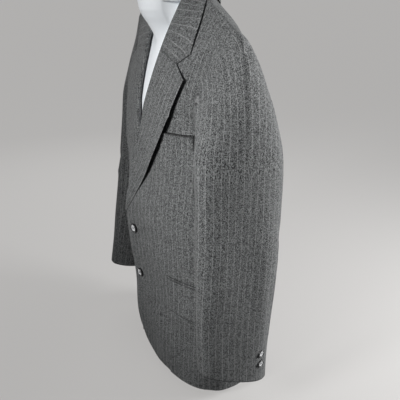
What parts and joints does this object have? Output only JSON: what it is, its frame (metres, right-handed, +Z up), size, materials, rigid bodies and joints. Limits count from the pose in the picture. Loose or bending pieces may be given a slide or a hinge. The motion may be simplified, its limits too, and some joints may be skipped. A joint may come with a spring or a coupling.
{
  "type": "two-button blazer on a limbless torso form",
  "caption": "Tailored jacket with notch lapels and a buttoned front, worn by a limbless torso form that it stands on.",
  "frame": {"origin": "middle of the torso form's flat base", "axes": "+Z up; the wearer faces -Y, and the wearer's left is +X"},
  "size_m": [0.5962, 0.2638, 0.9],
  "materials": {
    "pinstripe_wool": "matt worsted",
    "pearl_button": "pearl gloss",
    "form_shell": "satin"
  },
  "bodies": {
    "root": {"left_front": "pinstripe_wool", "left_side": "pinstripe_wool", "left_back": "pinstripe_wool", "left_lapel": "pinstripe_wool", "left_upper_sleeve": "pinstripe_wool", "left_under_sleeve": "pinstripe_wool", "left_hip_flap": "pinstripe_wool", "left_hip_jet": "pinstripe_wool", "right_front": "pinstripe_wool", "right_side": "pinstripe_wool", "right_back": "pinstripe_wool", "right_lapel": "pinstripe_wool", "right_upper_sleeve": "pinstripe_wool", "right_under_sleeve": "pinstripe_wool", "right_hip_flap": "pinstripe_wool", "right_hip_jet": "pinstripe_wool", "collar": "pinstripe_wool", "breast_welt": "pinstripe_wool", "front_button_upper": "pearl_button", "front_button_lower": "pearl_button", "left_cuff_button_1": "pearl_button", "left_cuff_button_2": "pearl_button", "right_cuff_button_1": "pearl_button", "right_cuff_button_2": "pearl_button", "torso_form": "form_shell"}
  },
  "joints": []
}
